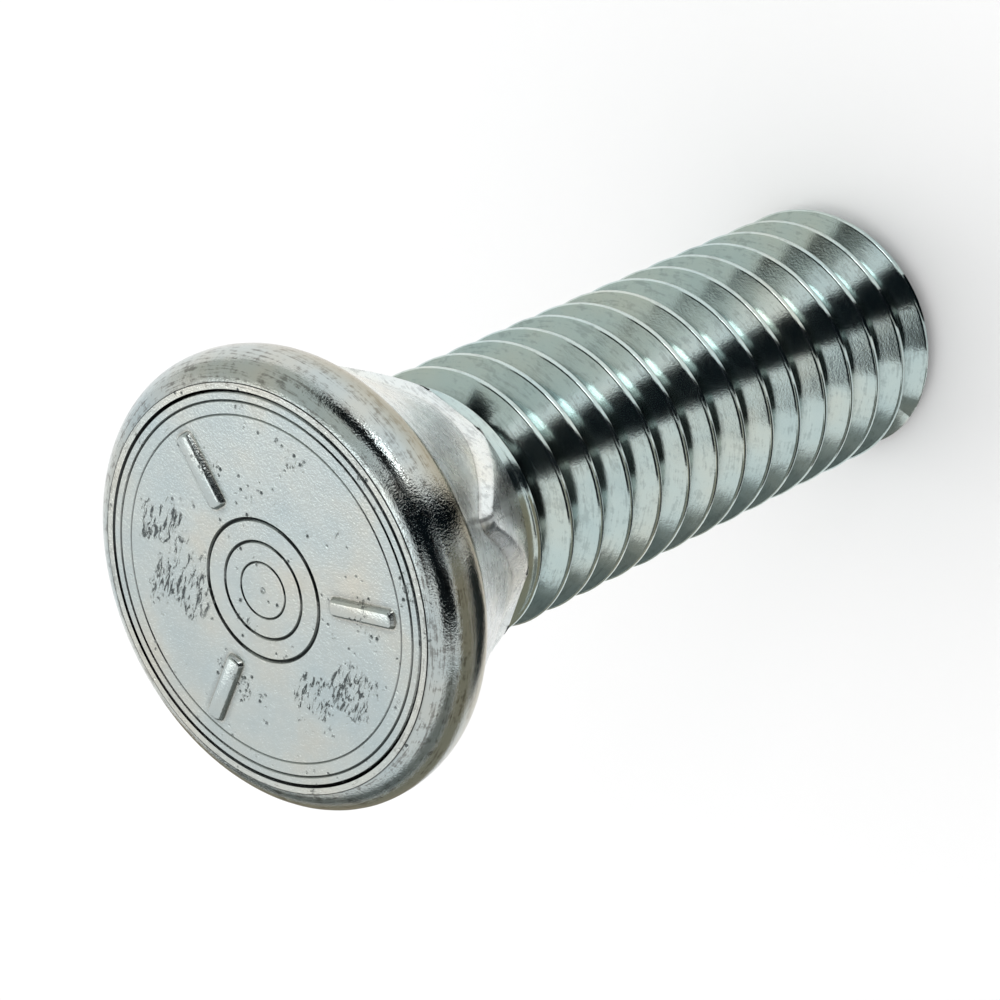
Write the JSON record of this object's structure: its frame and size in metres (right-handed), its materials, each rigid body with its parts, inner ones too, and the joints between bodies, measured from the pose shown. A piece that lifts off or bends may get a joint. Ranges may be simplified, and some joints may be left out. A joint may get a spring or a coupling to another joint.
{
  "type": "plow bolt",
  "caption": "One-piece zinc-plated steel plow bolt: round flat countersunk head, short square neck under it, fully threaded shank, raised radial strength dashes on the face",
  "frame": {"origin": "centre of the flat thread end, on the bolt's axis; the bolt stands on this end", "axes": "+Z runs along the bolt from the thread end to the head face; X and Y are square to the flats of the square neck"},
  "size_m": [0.0158, 0.0158, 0.0314],
  "materials": {
    "zinc_plated_steel": "bright zinc plate, slightly blue, with handling scuffs"
  },
  "bodies": {
    "root": {"plow_bolt": "zinc_plated_steel"}
  },
  "joints": []
}
